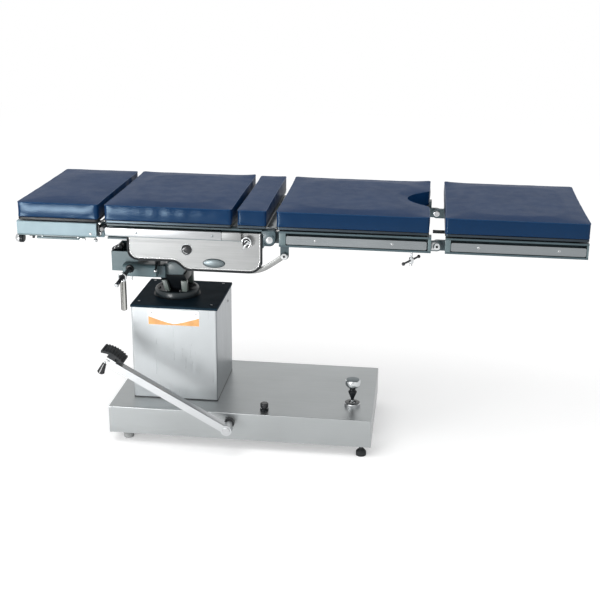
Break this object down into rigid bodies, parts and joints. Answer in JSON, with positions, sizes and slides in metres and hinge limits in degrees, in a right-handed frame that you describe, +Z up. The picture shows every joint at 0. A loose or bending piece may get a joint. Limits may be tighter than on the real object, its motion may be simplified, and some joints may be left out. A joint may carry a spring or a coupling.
{
  "type": "hydraulic operating table",
  "caption": "Hydraulic operating table with a padded sectional top on a foot-pumped lifting column and flat base, tilted by crank and hinged at head, seat and leg",
  "frame": {"origin": "floor point under the middle of the table top's length and width", "axes": "+X to the foot end along the table top, +Y away from the pump pedal, +Z up"},
  "size_m": [1.8625, 0.589, 0.869],
  "materials": {
    "vinyl": "navy upholstery vinyl, satin",
    "board": "dark board, matt",
    "frame_paint": "grey-green paint, satin",
    "head_paint": "light blue-grey paint, satin",
    "stainless": "brushed",
    "steel": "machined",
    "chrome": "polished",
    "black_steel": "black oxide",
    "black_plastic": "gloss",
    "rubber": "matt"
  },
  "bodies": {
    "base": {"base_cover": "stainless", "base_chassis": "steel", "levelling_feet": "rubber", "column_cover": "stainless", "column_top_plate": "black_plastic", "lift_cylinder": "steel", "pump_unit": "steel", "pedal_bearing": "black_steel", "lock_collar": "chrome"},
    "lock_pad": {"floor_lock_pad": "steel"},
    "floor_lock": {"floor_lock_screw": "chrome"},
    "lowering_button": {"lowering_button": "black_plastic"},
    "pedal": {"pedal_shaft": "chrome", "pedal_arm": "stainless", "pedal_pad": "rubber"},
    "release": {"latch_rod": "chrome", "latch_knob": "black_plastic"},
    "lift": {"ram": "chrome", "pedestal_flange": "frame_paint", "pedestal_post": "frame_paint", "head_casting": "frame_paint", "roll_pin": "steel", "bearing_beam": "frame_paint", "gear_box": "frame_paint"},
    "crank": {"crank_worm": "black_steel", "crank_hub": "chrome", "crank_grip": "stainless"},
    "clamp": {"clamp_lever": "chrome"},
    "saddle": {"saddle": "frame_paint", "trunnion_pins": "steel", "tilt_segment": "black_steel"},
    "centre": {"centre_channels": "frame_paint", "centre_crossbars": "frame_paint", "side_plates": "stainless", "plate_edging": "rubber", "trunnion_caps": "black_plastic", "centre_rails": "stainless", "centre_board": "board", "back_cushion": "vinyl", "hinge_blocks": "frame_paint"},
    "kidney": {"kidney_bridge": "steel", "kidney_cushion": "vinyl"},
    "kidney_drive": {"kidney_shaft": "steel", "kidney_knob": "chrome"},
    "seat": {"seat_channels": "frame_paint", "seat_crossbars": "frame_paint", "seat_rails": "stainless", "seat_board": "board", "seat_cushion": "vinyl"},
    "stay": {"seat_stays": "stainless"},
    "tee": {"tee_screw": "chrome"},
    "leg": {"leg_channels": "frame_paint", "leg_crossbars": "frame_paint", "leg_rails": "stainless", "leg_board": "board", "leg_cushion": "vinyl"},
    "head": {"head_channels": "head_paint", "head_rods": "chrome", "head_board": "board", "head_cushion": "vinyl"}
  },
  "joints": [
    {"name": "column_lift", "type": "slide", "parent": "base", "child": "lift", "axis": [0, 0, 1], "range_m": [0, 0.25]},
    {"name": "lateral_tilt", "type": "hinge", "parent": "lift", "child": "saddle", "pos_m": [-0.455, 0, 0.668], "axis": [1, 0, 0], "range_deg": [-15, 15]},
    {"name": "crank_turn", "type": "hinge", "parent": "lift", "child": "crank", "pos_m": [-0.594, 0, 0.604], "axis": [0, 1, 0], "range_deg": [-781, 781]},
    {"name": "clamp_turn", "type": "hinge", "parent": "lift", "child": "clamp", "pos_m": [-0.499, -0.097, 0.623], "axis": [0, 0, 1], "range_deg": [-30, 30]},
    {"name": "longitudinal_tilt", "type": "hinge", "parent": "saddle", "child": "centre", "pos_m": [-0.36, 0, 0.724], "axis": [0, -1, 0], "range_deg": [-25, 15]},
    {"name": "head_tilt", "type": "hinge", "parent": "centre", "child": "head", "pos_m": [-0.6425, 0, 0.781], "axis": [0, 1, 0], "range_deg": [-50, 10]},
    {"name": "kidney_lift", "type": "slide", "parent": "centre", "child": "kidney", "axis": [0, 0, 1], "range_m": [0, 0.09]},
    {"name": "kidney_turn", "type": "hinge", "parent": "centre", "child": "kidney_drive", "pos_m": [-0.16, 0, 0.755], "axis": [0, 1, 0], "range_deg": [-323, 1]},
    {"name": "seat_flex", "type": "hinge", "parent": "centre", "child": "seat", "pos_m": [-0.087, 0, 0.767], "axis": [0, 1, 0], "range_deg": [-15, 30]},
    {"name": "stay_turn", "type": "hinge", "parent": "seat", "child": "stay", "pos_m": [-0.039, 0, 0.712], "axis": [0, 1, 0], "range_deg": [-31, 16]},
    {"name": "tee_turn", "type": "hinge", "parent": "seat", "child": "tee", "pos_m": [0.373, -0.24, 0.716], "axis": [0, 0, 1], "range_deg": [-180, 180]},
    {"name": "leg_tilt", "type": "hinge", "parent": "seat", "child": "leg", "pos_m": [0.453, 0, 0.762], "axis": [0, 1, 0], "range_deg": [-20, 90]},
    {"name": "pedal_pump", "type": "hinge", "parent": "base", "child": "pedal", "pos_m": [-0.226, -0.3, 0.105], "axis": [0, -1, 0], "range_deg": [0, 20], "stiffness_Nm_per_rad": 20, "springref_deg": -28.65},
    {"name": "release_turn", "type": "hinge", "parent": "pedal", "child": "release", "pos_m": [-0.62415, -0.3, 0.32935], "axis": [-0.8712, 0, 0.4909], "range_deg": [-40, 40], "stiffness_Nm_per_rad": 0.6},
    {"name": "button_press", "type": "slide", "parent": "base", "child": "lowering_button", "axis": [0, 0, -1], "range_m": [0, 0.006], "stiffness_N_per_m": 800, "springref_m": -0.004},
    {"name": "lock_slide", "type": "slide", "parent": "base", "child": "lock_pad", "axis": [0, 0, -1], "range_m": [0, 0.01]},
    {"name": "lock_turn", "type": "hinge", "parent": "lock_pad", "child": "floor_lock", "pos_m": [0.189, -0.117, 0.18], "axis": [0, 0, 1], "range_deg": [-1, 901]}
  ],
  "couplings": [
    {"joint": "crank_turn", "follows": "lateral_tilt", "ratio": -52},
    {"joint": "kidney_turn", "follows": "kidney_lift", "rad_per_m": -62.5},
    {"joint": "stay_turn", "follows": "seat_flex", "ratio": -1},
    {"joint": "lock_turn", "follows": "lock_slide", "rad_per_m": 1570.8}
  ]
}
